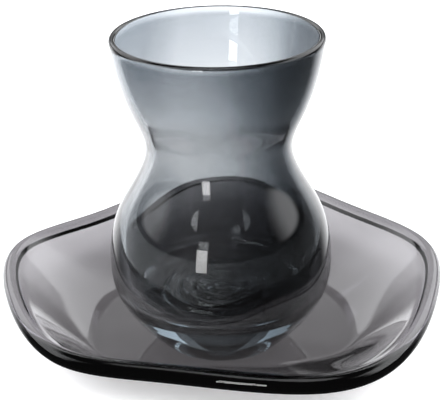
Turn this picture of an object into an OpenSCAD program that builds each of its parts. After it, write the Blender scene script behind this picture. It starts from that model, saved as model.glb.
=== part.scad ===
// Hourglass tea glass standing on a free-form dished glass saucer.
// The saucer rests on z = 0 and its outline is centred on the origin.

/* [Glass] */
// Height of the glass
glass_h = 87; // [70:0.5:105]
// Outer diameter of the rim
rim_d = 56; // [46:0.5:68]
// Outer diameter of the waist
waist_d = 39; // [31:0.5:47]
// Height of the waist above the foot
waist_z = 56.5; // [50:0.5:62]
// Outer diameter of the belly
belly_d = 60; // [49:0.5:72]
// Height of the belly above the foot
belly_z = 25; // [21:0.5:30]
// Diameter of the flat foot ring, outside
foot_d = 28; // [24:0.5:32]
// Diameter of the hollow under the foot
punt_d = 22; // [18:0.5:23]
// Depth of the hollow under the foot
punt_h = 1.2; // [0.6:0.1:2]
// Wall at the rim
rim_wall = 1.9; // [1.5:0.1:2.4]
// Wall beside the floor
low_wall = 4.6; // [3.6:0.1:5.5]
// Solid glass under the floor
floor_t = 13.5; // [10:0.5:16]

/* [Saucer] */
// Width across the saucer
saucer_w = 128; // [106:1:154]
// Depth of the saucer, front to back
saucer_d = 144; // [120:1:173]
// Glass under the flat well
base_t = 5; // [4:0.1:6]
// Thickness of the flange
flange_t = 4.2; // [3.4:0.1:5]
// Rise from the well to the top of the lip
lip_rise = 10.5; // [8.5:0.1:12.6]
// Thickness of the round edge bead
bead_d = 4.8; // [4:0.1:5.8]
// Width of the lip, from the edge to the crease inside it
lip_w = 4.6; // [4:0.1:5.5]
// How far the lip stands above the flange at the crease
lip_step = 0.6; // [0.4:0.1:0.8]
// Width of the flat well
well_w = 71; // [58:1:84]
// Reach of the well behind the middle of the glass
well_back = 46; // [38:1:56]
// Room between the foot of the glass and the front of the well
foot_room = 2; // [1:0.5:4]
// Middle of the glass, in front of the middle of the saucer
glass_ahead = 27; // [20:1:32]

/* [Hidden] */

foot_r = foot_d / 2;
belly_r = belly_d / 2;
waist_r = waist_d / 2;
rim_r = rim_d / 2;
heel_h = 1;
heel_run = 2.6;
heel_lean = 1.1;
heel_steps = 4;
span_steps = 7;
lip_steps = 8;
bead_steps = 10;
outline_steps = 7;
well_round = 3;
flange_sweep = 0.12;
bead_start = 32;
glass_fn = 120;

// Where the rim's round edge begins
rim_z = glass_h - rim_wall / 2;

// Stations of the outer wall: height, radius and lean (change of radius with height).
// The stations between two widest or narrowest places lie at a set share of the way.
function between(a, b, share) = a + (b - a) * share;
wall_stations = [
    [heel_h, foot_r + heel_run, heel_lean],
    [between(heel_h, belly_z, 0.47), between(foot_r + heel_run, belly_r, 0.738), 0.71],
    [belly_z, belly_r, 0],
    [between(belly_z, waist_z, 0.46), between(belly_r, waist_r, 0.294), -0.476],
    [waist_z, waist_r, 0],
    [between(waist_z, rim_z, 0.375), between(waist_r, rim_r, 0.44), 0.426],
    [rim_z, rim_r, 0.148]
];

// Cubic span from station a to station b at the share t: [radius, height]
function span_point(a, b, t) =
    let (h = b[0] - a[0], t2 = t * t, t3 = t2 * t)
    [
        (2 * t3 - 3 * t2 + 1) * a[1] + (t3 - 2 * t2 + t) * h * a[2]
            + (3 * t2 - 2 * t3) * b[1] + (t3 - t2) * h * b[2],
        a[0] + h * t
    ];

outer_wall = [
    for (i = [0 : len(wall_stations) - 2], k = [0 : span_steps - 1])
        span_point(wall_stations[i], wall_stations[i + 1], k / span_steps)
];

// Unit vector from the outer wall into the glass at point i
function inward(points, i) =
    let (
        a = points[max(i - 1, 0)],
        b = points[min(i + 1, len(points) - 1)],
        d = (b - a) / norm(b - a)
    )
    [-d[1], d[0]];

// The wall is thickest beside the floor and thins, quickly at first, to the rim
function wall_at(z) =
    between(rim_wall, low_wall, pow(max(0, min(1, (rim_z - z) / (rim_z - floor_t))), 2));

inner_all = [
    for (i = [0 : len(outer_wall) - 1])
        outer_wall[i] + inward(outer_wall, i) * wall_at(outer_wall[i][1])
];

// The cavity keeps the inner wall above the floor's round corner
corner_h = 5;
corner_run = 8;
corner_steps = 7;
inner_wall = [for (p = inner_all) if (p[1] > floor_t + corner_h) p];
corner_top = inner_wall[0];

// Quarter ellipse from the floor up to the inner wall
floor_corner = [
    for (k = [0 : corner_steps - 1])
        let (a = 90 * k / corner_steps)
        [
            corner_top[0] - corner_run * (1 - sin(a)),
            floor_t + (corner_top[1] - floor_t) * (1 - cos(a))
        ]
];

// Round edge of the rim, from the outer wall over to the inner wall
rim_edge = [
    for (k = [0 : lip_steps])
        let (a = 180 * k / lip_steps)
        [rim_r - rim_wall / 2 + rim_wall / 2 * cos(a), rim_z + rim_wall / 2 * sin(a)]
];

// Heel between the flat foot and the outer wall
heel = [
    for (k = [0 : heel_steps - 1])
        let (t = k / heel_steps)
        [
            foot_r + heel_run * (t * (1 - t) + t * t),
            heel_h * t * t
        ]
];

// Shallow dome under the foot
punt_steps = 6;
punt = [
    for (k = [0 : punt_steps])
        let (t = k / punt_steps)
        [punt_d / 2 * t, punt_h * (1 - t * t)]
];

function reversed(list) = [for (i = [len(list) - 1 : -1 : 0]) list[i]];

glass_section = concat(
    punt, heel, outer_wall, rim_edge, reversed(inner_wall), reversed(floor_corner),
    [[0, floor_t]]
);

// Saucer outline: one closed smooth curve steered by these points,
// in shares of the half width and half depth
outline_guides = [
    [-0.59, 0.49], [-1.06, 0.29], [-0.97, -0.28], [-0.73, -0.83],
    [-0.28, -0.88], [0.41, -1.07], [0.77, -0.83], [0.97, -0.28],
    [1.05, 0.22], [0.66, 0.53], [0.24, 1.06], [-0.22, 0.98]
];

// Point on the smooth closed curve through the guides' middle ground
function curve_point(guides, i, t) =
    let (n = len(guides))
    (
        guides[(i + n - 1) % n] * pow(1 - t, 3)
        + guides[i % n] * (3 * pow(t, 3) - 6 * t * t + 4)
        + guides[(i + 1) % n] * (-3 * pow(t, 3) + 3 * t * t + 3 * t + 1)
        + guides[(i + 2) % n] * pow(t, 3)
    ) / 6;

raw_outline = [
    for (i = [0 : len(outline_guides) - 1], k = [0 : outline_steps - 1])
        curve_point(outline_guides, i, k / outline_steps)
];
function low(points, axis) = min([for (p = points) p[axis]]);
function high(points, axis) = max([for (p = points) p[axis]]);
function fitted(v, points, axis, size) =
    (v - (low(points, axis) + high(points, axis)) / 2)
    * size / (high(points, axis) - low(points, axis));

outline = [
    for (p = raw_outline)
        [fitted(p[0], raw_outline, 0, saucer_w), fitted(p[1], raw_outline, 1, saucer_d)]
];
count = len(outline);

// Unit vector from the outline into the saucer
function edge_inward(i) =
    let (d = outline[(i + 1) % count] - outline[(i + count - 1) % count])
    [-d[1], d[0]] / norm(d);

glass_mid = [0, -glass_ahead];
well_front = foot_r + foot_room;

// Reach of the well from the middle of the glass along the direction d:
// squarish towards the front, elliptical towards the back
function well_reach(d) =
    let (
        u = d / norm(d),
        n = u[1] < 0 ? well_round : 2,
        depth = u[1] < 0 ? well_front : well_back
    )
    pow(pow(abs(u[0]) / (well_w / 2), n) + pow(abs(u[1]) / depth, n), -1 / n);

// Plan point of the lip's crease, and of the well's edge that it is joined to
function crease_point(i) = outline[i] + edge_inward(i) * lip_w;
function well_point(i) =
    let (d = crease_point(i) - glass_mid)
    glass_mid + d / norm(d) * well_reach(d);

function sweep(t) =
    (sqrt(t * t + flange_sweep * flange_sweep) - flange_sweep)
    / (sqrt(1 + flange_sweep * flange_sweep) - flange_sweep);

function lift(p, z) = [p[0], p[1], z];

bead_r = bead_d / 2;
lip_z = base_t + lip_rise;
crease_z = lip_z - lip_step;
under_z = crease_z - flange_t;
flange_shares = [0.05, 0.11, 0.19, 0.32, 0.5, 0.74];

// Rings of the saucer's skin, from the well up over the edge bead and back underneath
function flange_ring(t, low_z, high_z) = [
    for (i = [0 : count - 1])
        lift(between(well_point(i), crease_point(i), t), low_z + (high_z - low_z) * sweep(t))
];
function bead_ring(a) = [
    for (i = [0 : count - 1])
        lift(
            outline[i] + edge_inward(i) * bead_r * (1 - sin(a)),
            lip_z - bead_r * (1 - cos(a))
        )
];

rings = concat(
    [flange_ring(0, base_t, crease_z)],
    [for (t = flange_shares) flange_ring(t, base_t, crease_z)],
    [flange_ring(1, base_t, crease_z)],
    [for (k = [0 : bead_steps]) bead_ring(between(-bead_start, 180 + bead_start, k / bead_steps))],
    [flange_ring(1, 0, under_z)],
    [for (t = reversed(flange_shares)) flange_ring(t, 0, under_z)],
    [flange_ring(0, 0, under_z)]
);

module glass() {
    color("slategray")
        translate([glass_mid[0], glass_mid[1], base_t])
            rotate_extrude($fn = glass_fn)
                polygon(glass_section);
}

module saucer() {
    last = len(rings) - 1;
    color("dimgray")
        polyhedron(
            points = [for (r = rings, p = r) p],
            faces = concat(
                [[for (i = [0 : count - 1]) count - 1 - i]],
                [
                    for (j = [0 : last - 1], i = [0 : count - 1])
                        [
                            j * count + i,
                            j * count + (i + 1) % count,
                            (j + 1) * count + (i + 1) % count,
                            (j + 1) * count + i
                        ]
                ],
                [[for (i = [0 : count - 1]) last * count + i]]
            )
        );
}

glass();
saucer();
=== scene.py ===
import math

import bmesh
import bpy
from mathutils import Matrix, Vector


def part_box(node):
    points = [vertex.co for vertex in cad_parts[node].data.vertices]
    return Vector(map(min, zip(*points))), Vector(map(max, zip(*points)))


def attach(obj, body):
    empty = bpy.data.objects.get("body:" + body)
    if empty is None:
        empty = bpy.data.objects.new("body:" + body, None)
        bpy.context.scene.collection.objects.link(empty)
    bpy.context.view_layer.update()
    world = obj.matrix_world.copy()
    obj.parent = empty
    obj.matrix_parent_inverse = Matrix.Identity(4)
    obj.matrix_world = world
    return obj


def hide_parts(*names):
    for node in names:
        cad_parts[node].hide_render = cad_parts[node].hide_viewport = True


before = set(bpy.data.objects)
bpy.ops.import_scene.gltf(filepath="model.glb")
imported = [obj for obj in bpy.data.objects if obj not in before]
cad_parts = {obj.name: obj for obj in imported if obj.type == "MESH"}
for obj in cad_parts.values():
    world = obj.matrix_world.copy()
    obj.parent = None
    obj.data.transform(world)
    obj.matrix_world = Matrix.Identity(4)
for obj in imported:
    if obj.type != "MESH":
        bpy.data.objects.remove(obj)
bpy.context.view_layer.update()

scene = bpy.context.scene
glassLow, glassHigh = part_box("glass")
saucerLow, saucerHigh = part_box("saucer")
mm = 0.001


class Wire:
    def __init__(self, tree, socket):
        self.tree = tree
        self.socket = socket

    def math(self, operation, *values):
        node = self.tree.nodes.new("ShaderNodeMath")
        node.operation = operation
        for slot, value in zip(node.inputs, values):
            feed(self.tree, slot, value)
        return Wire(self.tree, node.outputs[0])

    def __add__(self, other):
        return self.math("ADD", self, other)

    def __radd__(self, other):
        return self.math("ADD", other, self)

    def __sub__(self, other):
        return self.math("SUBTRACT", self, other)

    def __rsub__(self, other):
        return self.math("SUBTRACT", other, self)

    def __mul__(self, other):
        return self.math("MULTIPLY", self, other)

    def __rmul__(self, other):
        return self.math("MULTIPLY", other, self)

    def __truediv__(self, other):
        return self.math("DIVIDE", self, other)

    def clamped(self):
        return self.math("MINIMUM", self.math("MAXIMUM", self, 0.0), 1.0)


def feed(tree, slot, value):
    if isinstance(value, Wire):
        tree.links.new(value.socket, slot)
    elif value is not None:
        slot.default_value = value


class Finish:
    def __init__(self, name):
        self.material = bpy.data.materials.new(name)
        self.material.use_nodes = True
        self.tree = self.material.node_tree
        self.shader = self.tree.nodes["Principled BSDF"]
        self.output = self.tree.nodes["Material Output"]

    def node(self, kind, settings, sockets, out=0):
        made = self.tree.nodes.new(kind)
        for key, value in settings.items():
            if key == "stops":
                ramp = made.color_ramp
                while len(ramp.elements) < len(value):
                    ramp.elements.new(0.5)
                for element, (place, colour) in zip(ramp.elements, value):
                    element.position = place
                    element.color = (*colour, 1.0)
            else:
                setattr(made, key, value)
        for key, value in sockets.items():
            feed(self.tree, made.inputs[key], value)
        return Wire(self.tree, made.outputs[out])

    def place(self):
        return self.node("ShaderNodeTexCoord", {}, {}, out="Object")

    def along(self, axis):
        return self.node("ShaderNodeSeparateXYZ", {}, {"Vector": self.place()}, out=axis)

    def noise(self, scale, detail):
        return self.node(
            "ShaderNodeTexNoise", {},
            {"Vector": self.place(), "Scale": scale, "Detail": detail, "Roughness": 0.5},
        )

    def bump(self, height, strength, distance):
        return self.node(
            "ShaderNodeBump", {},
            {"Height": height, "Strength": strength, "Distance": distance},
            out="Normal",
        )

    def set(self, **values):
        for key, value in values.items():
            feed(self.tree, self.shader.inputs[key.replace("_", " ")], value)


cup = {
    "footRadius": 14 * mm,
    "heelRun": 2.6 * mm,
    "heelHeight": 1.0 * mm,
    "waistRadius": 19.5 * mm,
    "waistHeight": 56.5 * mm,
    "bellyRadius": 30 * mm,
    "bellyHeight": 25 * mm,
    "rimRadius": 28 * mm,
    "heelLean": 1.1,
    "rimLean": 0.148,
    # share of the way up, share of the way out, and lean there
    "lowerCurve": (0.47, 0.738, 0.71),
    "upperCurve": (0.46, 0.294, -0.476),
    "flareCurve": (0.375, 0.44, 0.426),
    "rimWall": 1.9 * mm,
    "lowWall": 4.6 * mm,
    "floor": 13.5 * mm,
    "puntRadius": 11 * mm,
    "puntHeight": 1.2 * mm,
    "cornerHeight": 5 * mm,
    "cornerRun": 8 * mm,
    "ringPitch": 4.2 * mm,
    "ringDepth": 1.5 * mm,
    "spanSteps": 18,
    "cornerSteps": 16,
    "rimSteps": 14,
    "heelSteps": 8,
    "puntSteps": 12,
    "ringSteps": 40,
    "turns": 192,
    "lift": 0.04 * mm,             # air under the foot, so the two glasses stay apart
}


def between(a, b, share):
    return a + (b - a) * share


# Height, radius and lean of the outer wall where it is widest or narrowest, and between
def wallStations():
    c = cup
    rimZ = glassHigh.z - glassLow.z - c["rimWall"] / 2
    heel = (c["heelHeight"], c["footRadius"] + c["heelRun"], c["heelLean"])
    belly = (c["bellyHeight"], c["bellyRadius"], 0)
    waist = (c["waistHeight"], c["waistRadius"], 0)
    rim = (rimZ, c["rimRadius"], c["rimLean"])

    def midway(low, high, curve):
        up, out, lean = curve
        return (between(low[0], high[0], up), between(low[1], high[1], out), lean)

    return [
        heel, midway(heel, belly, c["lowerCurve"]),
        belly, midway(belly, waist, c["upperCurve"]),
        waist, midway(waist, rim, c["flareCurve"]), rim,
    ]


def spanPoint(a, b, t):
    h = b[0] - a[0]
    r = (
        (2 * t**3 - 3 * t**2 + 1) * a[1] + (t**3 - 2 * t**2 + t) * h * a[2]
        + (3 * t**2 - 2 * t**3) * b[1] + (t**3 - t**2) * h * b[2]
    )
    return Vector((r, a[0] + h * t))


def cupProfile():
    c = cup
    stations = wallStations()
    outer = [
        spanPoint(a, b, k / c["spanSteps"])
        for a, b in zip(stations, stations[1:])
        for k in range(c["spanSteps"])
    ]
    inner = []
    for i, p in enumerate(outer):
        d = (outer[min(i + 1, len(outer) - 1)] - outer[max(i - 1, 0)]).normalized()
        t = max(0, (stations[-1][0] - p.y) / (stations[-1][0] - c["floor"]))
        wall = between(c["rimWall"], c["lowWall"], min(1, t)**2)
        q = p + Vector((-d.y, d.x)) * wall
        if q.y > c["floor"] + c["cornerHeight"]:
            inner.append(q)
    top = inner[0]
    corner = []
    for k in range(c["cornerSteps"]):
        a = math.pi / 2 * k / c["cornerSteps"]
        corner.append(Vector((
            top.x - c["cornerRun"] * (1 - math.sin(a)),
            c["floor"] + (top.y - c["floor"]) * (1 - math.cos(a)),
        )))
    rimZ = stations[-1][0]
    half = c["rimWall"] / 2
    rim = []
    for k in range(c["rimSteps"] + 1):
        a = math.pi * k / c["rimSteps"]
        rim.append(Vector((c["rimRadius"] - half + half * math.cos(a), rimZ + half * math.sin(a))))
    heel = []
    for k in range(c["heelSteps"]):
        t = k / c["heelSteps"]
        heel.append(Vector((c["footRadius"] + c["heelRun"] * t, c["heelHeight"] * t * t)))
    punt = []
    for k in range(c["puntSteps"] + 1):
        t = k / c["puntSteps"]
        punt.append(Vector((c["puntRadius"] * t, c["puntHeight"] * (1 - t * t))))
    # pressed rings that fade out towards the middle of the floor
    rings = []
    for k in range(1, c["ringSteps"] + 1):
        t = k / c["ringSteps"]
        wave = 1 - math.cos(math.tau * corner[0].x * t / c["ringPitch"])
        rings.append(Vector((
            corner[0].x * (1 - t), c["floor"] + c["ringDepth"] / 2 * wave * (1 - t**4),
        )))
    return punt + heel + outer + rim + inner[::-1] + corner[::-1] + rings


def spunCup():
    c = cup
    axis = (glassLow + glassHigh) / 2
    bm = bmesh.new()
    last = None
    for p in cupProfile():
        z = glassLow.z + max(p.y, c["lift"])
        vert = bm.verts.new((axis.x + p.x, axis.y, z))
        if last:
            bm.edges.new((last, vert))
        last = vert
    bmesh.ops.spin(
        bm, geom=bm.verts[:] + bm.edges[:], cent=(axis.x, axis.y, 0), axis=(0, 0, 1),
        angle=math.tau, steps=c["turns"], use_merge=True, use_duplicate=False,
    )
    bmesh.ops.remove_doubles(bm, verts=bm.verts, dist=1e-6)
    bmesh.ops.recalc_face_normals(bm, faces=bm.faces)
    for face in bm.faces:
        face.smooth = True
    return finished(bm, "tea_glass")


def finished(bm, name):
    mesh = bpy.data.meshes.new(name)
    bm.to_mesh(mesh)
    bm.free()
    piece = bpy.data.objects.new(name, mesh)
    scene.collection.objects.link(piece)
    return piece


dish = {
    "base": 5 * mm,
    "flange": 4.2 * mm,
    "rise": 10.5 * mm,
    "bead": 4.8 * mm,
    "lip": 4.6 * mm,
    "lipStep": 0.6 * mm,
    "wellWidth": 71 * mm,
    "wellBack": 46 * mm,
    "wellFront": 16 * mm,
    "wellRound": 3,
    "sweep": 0.12,
    "beadStart": 32,
    "outlineSteps": 24,
    "flangeSteps": 26,
    "crowding": 1.6,               # closer steps where the flange leaves the well
    "beadSteps": 28,
    "inset": -0.06,                # the flat faces start a little inside the well's edge
    "guides": [
        (-0.59, 0.49), (-1.06, 0.29), (-0.97, -0.28), (-0.73, -0.83),
        (-0.28, -0.88), (0.41, -1.07), (0.77, -0.83), (0.97, -0.28),
        (1.05, 0.22), (0.66, 0.53), (0.24, 1.06), (-0.22, 0.98),
    ],
}


def dishOutline():
    guides = [Vector(g) for g in dish["guides"]]
    n = len(guides)
    points = []
    for i in range(n):
        for k in range(dish["outlineSteps"]):
            t = k / dish["outlineSteps"]
            points.append((
                guides[i - 1] * (1 - t)**3
                + guides[i] * (3 * t**3 - 6 * t**2 + 4)
                + guides[(i + 1) % n] * (-3 * t**3 + 3 * t**2 + 3 * t + 1)
                + guides[(i + 2) % n] * t**3
            ) / 6)
    low = Vector((min(p.x for p in points), min(p.y for p in points)))
    high = Vector((max(p.x for p in points), max(p.y for p in points)))
    size = saucerHigh - saucerLow
    mid = (low + high) / 2
    centre = (saucerLow + saucerHigh) / 2
    return [
        Vector((centre.x + (p.x - mid.x) * size.x / (high.x - low.x),
                centre.y + (p.y - mid.y) * size.y / (high.y - low.y)))
        for p in points
    ]


def wellReach(direction):
    u = direction.normalized()
    n = dish["wellRound"] if u.y < 0 else 2
    depth = dish["wellFront"] if u.y < 0 else dish["wellBack"]
    return ((abs(u.x) / (dish["wellWidth"] / 2))**n + (abs(u.y) / depth)**n)**(-1 / n)


def sweep(t):
    k = dish["sweep"]
    return (math.sqrt(t * t + k * k) - k) / (math.sqrt(1 + k * k) - k)


def dishRings():
    d = dish
    outline = dishOutline()
    n = len(outline)
    glassMid = ((glassLow + glassHigh) / 2).to_2d()
    inward = []
    for i in range(n):
        along = outline[(i + 1) % n] - outline[i - 1]
        inward.append(Vector((-along.y, along.x)).normalized())
    crease = [p + q * d["lip"] for p, q in zip(outline, inward)]
    well = [glassMid + (p - glassMid).normalized() * wellReach(p - glassMid) for p in crease]
    floor = saucerLow.z
    lipZ = floor + d["base"] + d["rise"]
    creaseZ = lipZ - d["lipStep"]
    underZ = creaseZ - d["flange"]
    r = d["bead"] / 2

    def flange(t, low, high):
        s = sweep(t) if t > 0 else 0
        return [
            (*between(w, c, t), low + (high - low) * s) for w, c in zip(well, crease)
        ]

    def bead(a):
        return [
            (*(p + q * r * (1 - math.sin(a))), lipZ - r * (1 - math.cos(a)))
            for p, q in zip(outline, inward)
        ]

    shares = [d["inset"]]
    shares += [(k / d["flangeSteps"])**d["crowding"] for k in range(d["flangeSteps"] + 1)]
    start = math.radians(d["beadStart"])
    rings = [flange(t, floor + d["base"], creaseZ) for t in shares]
    rings += [
        bead(between(-start, math.pi + start, k / d["beadSteps"]))
        for k in range(d["beadSteps"] + 1)
    ]
    rings += [flange(t, floor, underZ) for t in reversed(shares)]
    return rings


def formedDish():
    rings = dishRings()
    n = len(rings[0])
    bm = bmesh.new()
    circle = bmesh.ops.create_circle(bm, segments=n, radius=0.03, cap_ends=False)["verts"]
    bm.verts.ensure_lookup_table()
    ring = list(circle)
    for vert, place in zip(ring, rings[0]):
        vert.co = place
    bmesh.ops.contextual_create(bm, geom=[e for e in bm.edges])
    edges = [e for e in bm.edges]
    for places in rings[1:]:
        grown = bmesh.ops.extrude_edge_only(bm, edges=edges)["geom"]
        edges = [g for g in grown if isinstance(g, bmesh.types.BMEdge)]
        made = [g for g in grown if isinstance(g, bmesh.types.BMVert)]
        # each new vertex starts where the ring before it lies
        follow = {}
        for vert in made:
            for edge in vert.link_edges:
                other = edge.other_vert(vert)
                if other not in made:
                    follow[other] = vert
        ring = [follow[v] for v in ring]
        for vert, place in zip(ring, places):
            vert.co = place
    bmesh.ops.contextual_create(bm, geom=edges)
    bmesh.ops.recalc_face_normals(bm, faces=bm.faces)
    for face in bm.faces:
        face.smooth = True
    return finished(bm, "saucer_dish")


cupLook = {
    # the lustre's own tint is dark, and the colour is painted darker at the right and in front as
    # painted shade;
    # it is much lighter at the foot, darker towards the rim, and the rim's own edge is left clear
    "shadeTurn": 20,
    "lustreAndShade": [
        (0.08, (0.38, 0.40, 0.42)), (0.20, (0.60, 0.61, 0.62)), (0.48, (0.63, 0.64, 0.65)),
        (0.58, (0.55, 0.565, 0.575)), (0.65, (0.44, 0.46, 0.475)), (0.71, (0.28, 0.295, 0.31)),
        (0.76, (0.19, 0.205, 0.22)), (0.84, (0.12, 0.13, 0.14)), (0.95, (0.11, 0.115, 0.12)),
    ],
    "rise": [
        (0.06, (2.2, 2.2, 2.2)), (0.13, (1.5, 1.5, 1.5)), (0.18, (0.80, 0.80, 0.80)),
        (0.26, (0.76, 0.76, 0.76)), (0.40, (0.84, 0.84, 0.84)), (0.56, (0.94, 0.94, 0.94)),
        (0.667, (0.98, 0.98, 0.98)), (0.76, (0.84, 0.84, 0.84)), (0.84, (0.72, 0.74, 0.76)),
        (0.975, (0.56, 0.59, 0.62)), (0.985, (0.95, 0.98, 1.0)),
    ],
    "wave": 45.0,
    "waveStrength": 0.2,
    "waveDepth": 0.4 * mm,
    "tint": (0.938, 0.941, 0.943),
    "density": 1000.0,
    "ior": 1.52,
}


# The slight unevenness of pressed glass
def waved(f, look):
    return f.bump(f.noise(look["wave"], 1.0), look["waveStrength"], look["waveDepth"])


def tinted(f, look):
    body = f.tree.nodes.new("ShaderNodeVolumeAbsorption")
    body.inputs["Color"].default_value = (*look["tint"], 1)
    body.inputs["Density"].default_value = look["density"]
    f.tree.links.new(body.outputs[0], f.output.inputs["Volume"])


def lustreShadedGlass():
    f = Finish("lustre_shaded_glass")
    mid = (glassLow + glassHigh) / 2
    turn = math.radians(cupLook["shadeTurn"])
    reach = (f.along("X") - mid.x) * math.cos(turn) - (f.along("Y") - mid.y) * math.sin(turn)
    share = (reach / (2 * cup["bellyRadius"]) + 0.5).clamped()
    # painted shade: this ramp paints the lustre colour darker towards the right and front
    side = f.node("ShaderNodeValToRGB", {"stops": cupLook["lustreAndShade"]}, {"Fac": share})
    up = ((f.along("Z") - glassLow.z) / (glassHigh.z - glassLow.z)).clamped()
    rise = f.node("ShaderNodeValToRGB", {"stops": cupLook["rise"]}, {"Fac": up})
    colour = f.node(
        "ShaderNodeMix", {"data_type": "RGBA", "blend_type": "MULTIPLY"},
        {0: 1.0, 6: side, 7: rise}, out=2,
    )
    f.set(
        Base_Color=colour, Roughness=0.0, IOR=cupLook["ior"], Transmission_Weight=1.0,
        Normal=waved(f, cupLook),
    )
    tinted(f, cupLook)
    return f.material


saucerLook = {
    "tint": (0.75, 0.742, 0.75),
    # painted shade: the top of the lip is painted darker, a dark line along the saucer's rim
    "lip": [(0.88, (1.0, 1.0, 1.0)), (0.97, (0.5, 0.49, 0.5))],
    "wave": 38.0,
    "waveStrength": 0.35,
    "waveDepth": 0.5 * mm,
    "density": 1000.0,
    "ior": 1.52,
}


def smokedShadedGlass():
    f = Finish("smoked_shaded_glass")
    up = ((f.along("Z") - saucerLow.z) / (saucerHigh.z - saucerLow.z)).clamped()
    # painted shade: darker colour on the top of the lip
    lip = f.node("ShaderNodeValToRGB", {"stops": saucerLook["lip"]}, {"Fac": up})
    f.set(
        Base_Color=lip, Roughness=0.0, IOR=saucerLook["ior"], Transmission_Weight=1.0,
        Normal=waved(f, saucerLook),
    )
    tinted(f, saucerLook)
    return f.material


stageLook = {
    "floorSize": 6.0,
    "floorDrop": 0.02 * mm,
    "floor": (0.86, 0.86, 0.87),
    "roughness": 0.7,
    "glow": 0.4,             # so the table stays white under the shadow
}


def paleFloor():
    bm = bmesh.new()
    bmesh.ops.create_grid(bm, x_segments=1, y_segments=1, size=stageLook["floorSize"] / 2)
    floor = finished(bm, "floor")
    f = Finish("pale_floor")
    f.set(
        Base_Color=(*stageLook["floor"], 1), Roughness=stageLook["roughness"],
        Emission_Color=(1, 1, 1, 1), Emission_Strength=stageLook["glow"],
    )
    floor.data.materials.append(f.material)
    floor.data.transform(Matrix.Translation((0, 0, -stageLook["floorDrop"])))
    floor.visible_glossy = False


def softbox(name, place, aim, size, power, colour=(1, 1, 1)):
    data = bpy.data.lights.new(name, "AREA")
    data.shape = "RECTANGLE"
    data.size, data.size_y = size
    data.energy = power
    data.color = colour
    lamp = bpy.data.objects.new(name, data)
    lamp.location = place
    lamp.rotation_mode = "QUATERNION"
    lamp.rotation_quaternion = (Vector(aim) - Vector(place)).to_track_quat("-Z", "Y")
    scene.collection.objects.link(lamp)
    return lamp


studioLook = {
    "base": 0.06,
    "colour": (0.97, 0.98, 1.0),
    # each pair is where the edge of a band starts and ends, in x, y or z of the direction
    "wall": 2.1,             # pale, behind and to the sides
    "wallMiddle": 0.70,      # its lower edge is this high straight behind
    "wallDrop": 0.50,        # and this much lower at the sides
    "wallTurn": (0.06, 0.34),
    "wallSoft": (0.0, 0.08),
    "wallTop": (0.66, 0.80),
    "wallReach": (-0.45, 0.0),
    "wallRight": 0.15,       # a little brighter at the right
    "veil": 0.75,            # dimmer, in the gap that the wall leaves straight behind
    "veilLow": (0.22, 0.32),
    "veilTop": (0.44, 0.54),
    "veilReach": (0.3, 0.6),
    "sill": 2.0,             # a strip just over the table, far behind
    "sillTop": (0.05, 0.15),
    "sillReach": (0.5, 0.85),
    "zenith": 1.5,
    "zenithReach": (0.93, 0.98),
    # the window stands left of the camera
    "windowTurn": -20,
    "windowRise": 10,
    "windowAway": 1.6,
    "windowSize": (0.30, 0.62),
    "windowPower": 4.5,
    # two kick lamps light the clear foot from behind, and two banks light the floor
    "kickPlace": (0.69, 1.2, 0.8),
    "kickSize": (0.4, 0.5),
    "kickPower": 7,
    "kickColour": (0.88, 0.95, 1.0),
    "bankPlace": (1.4, -1.1, 1.6),
    "bankSize": (1.6, 1.2),
    "bankPower": 52,
}


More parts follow.
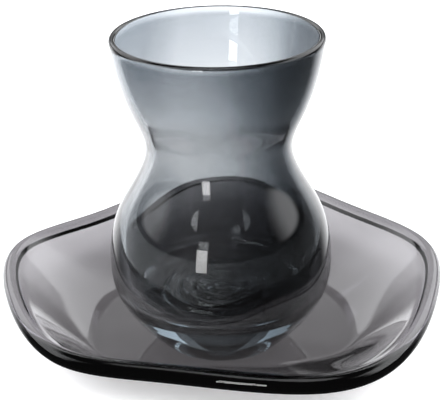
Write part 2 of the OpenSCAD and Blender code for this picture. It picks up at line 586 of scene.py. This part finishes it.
def studio():
    k = studioLook
    world = bpy.data.worlds.new("studio")
    scene.world = world
    world.use_nodes = True
    tree = world.node_tree
    back = tree.nodes["Background"]
    split = tree.nodes.new("ShaderNodeSeparateXYZ")
    spot = tree.nodes.new("ShaderNodeTexCoord")
    tree.links.new(spot.outputs["Generated"], split.inputs[0])
    x, y, z = (Wire(tree, split.outputs[i]) for i in range(3))

    def soft(value, span):
        low, high = span
        t = ((value - low) / (high - low)).clamped()
        return t * t * (3 - 2 * t)

    edge = k["wallMiddle"] - k["wallDrop"] * soft(x.math("ABSOLUTE", x), k["wallTurn"])
    wall = soft(z - edge, k["wallSoft"]) * (1 - soft(z, k["wallTop"]))
    veil = soft(z, k["veilLow"]) * soft(y, k["veilReach"]) * k["veil"] * (1 - soft(z, k["veilTop"]))
    pale = wall.math("MAXIMUM", wall * k["wall"], veil)
    sill = (1 - soft(z, k["sillTop"])) * soft(y, k["sillReach"])
    glow = k["base"] + k["sill"] * sill
    glow = glow + pale * soft(y, k["wallReach"]) * (1 + k["wallRight"] * x)
    glow = glow + soft(z, k["zenithReach"]) * k["zenith"]
    feed(tree, back.inputs["Strength"], glow)
    back.inputs["Color"].default_value = (*k["colour"], 1)

    turn, rise = math.radians(k["windowTurn"]), math.radians(k["windowRise"])
    window = Vector((
        math.sin(turn) * math.cos(rise), -math.cos(turn) * math.cos(rise), math.sin(rise),
    ))
    mid = (glassLow + glassHigh) / 2
    softbox("window", mid + window * k["windowAway"], mid, k["windowSize"], k["windowPower"])
    mirror = Vector((-1, 1, 1))
    # these four stay out of the gloss
    for name, aim, colour in (("kick", mid, k["kickColour"]), ("bank", (0, 0, 0), (1, 1, 1))):
        place = Vector(k[name + "Place"])
        for side, spotted in (("left_", place * mirror), ("right_", place)):
            lamp = softbox(side + name, spotted, aim, k[name + "Size"], k[name + "Power"], colour)
            lamp.visible_glossy = False


camera = {
    "ahead": 372.2 * mm,     # in front of the glass
    "height": 200.1 * mm,    # over the foot
    "pitch": 23.17,
    "roll": 1.0,
    "lens": 123.5,
}


def placeCamera():
    data = bpy.data.cameras.new("camera")
    data.sensor_width = 36
    data.lens = camera["lens"]
    eye = bpy.data.objects.new("camera", data)
    mid = (glassLow + glassHigh) / 2
    eye.location = (mid.x, mid.y - camera["ahead"], glassLow.z + camera["height"])
    turn = Matrix.Rotation(math.radians(90 - camera["pitch"]), 4, "X")
    turn = turn @ Matrix.Rotation(math.radians(-camera["roll"]), 4, "Z")
    eye.rotation_mode = "QUATERNION"
    eye.rotation_quaternion = turn.to_quaternion()
    data.clip_start = 0.01
    data.clip_end = 20
    scene.collection.objects.link(eye)
    scene.camera = eye


placeCamera()
print("camera placed")
glass = spunCup()
glass.data.materials.append(lustreShadedGlass())
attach(glass, "root")
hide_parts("glass")
print("glass spun", len(glass.data.polygons))
saucer = formedDish()
saucer.data.materials.append(smokedShadedGlass())
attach(saucer, "root")
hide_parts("saucer")
print("saucer formed", len(saucer.data.polygons))
paleFloor()
studio()
scene.view_settings.view_transform = "Standard"
scene.cycles.max_bounces = 24
scene.cycles.transmission_bounces = 24
scene.cycles.glossy_bounces = 8
print("stage lit")
